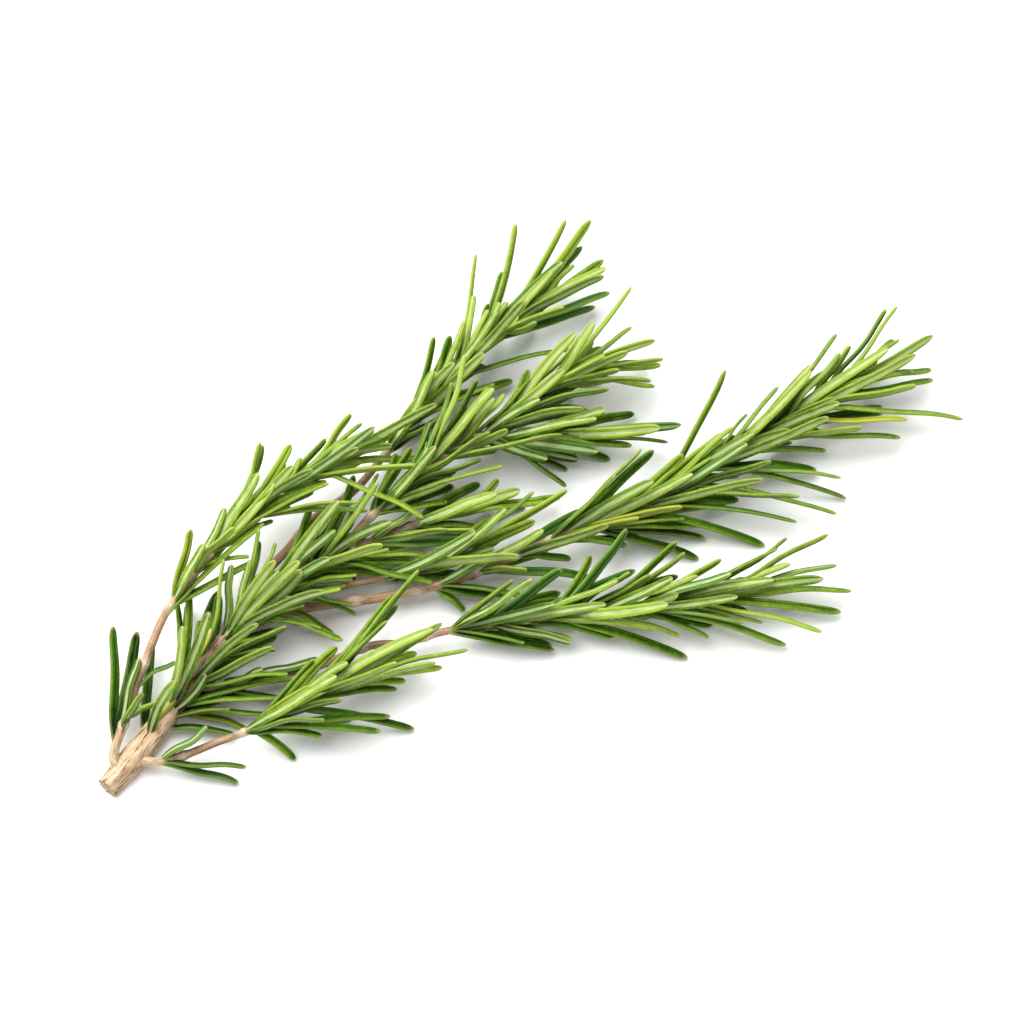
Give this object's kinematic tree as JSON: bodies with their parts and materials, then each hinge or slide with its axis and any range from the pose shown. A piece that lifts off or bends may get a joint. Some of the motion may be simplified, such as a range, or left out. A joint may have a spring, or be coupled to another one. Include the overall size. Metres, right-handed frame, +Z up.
{
  "type": "rosemary sprig",
  "caption": "Freshly cut rosemary sprig lying down: a woody stem that branches into leafy side shoots with narrow needle leaves.",
  "frame": {"origin": "centre of the sprig's bounding box, on the surface that it lies on", "axes": "+X along the sprig from its cut end to the far tips, +Y across it to the left of that direction, +Z up from the surface"},
  "size_m": [0.2023, 0.1455, 0.0261],
  "materials": {
    "bark": "matt, ridged young bark",
    "leaf": "waxy, slightly glossy leaf with a pale felted underside"
  },
  "bodies": {
    "root": {"woody_stem": "bark", "left_shoot": "leaf", "top_shoot": "leaf", "centre_shoot": "leaf", "inner_shoot": "leaf", "right_shoot": "leaf", "low_right_shoot": "leaf", "short_shoot": "leaf"}
  },
  "joints": []
}
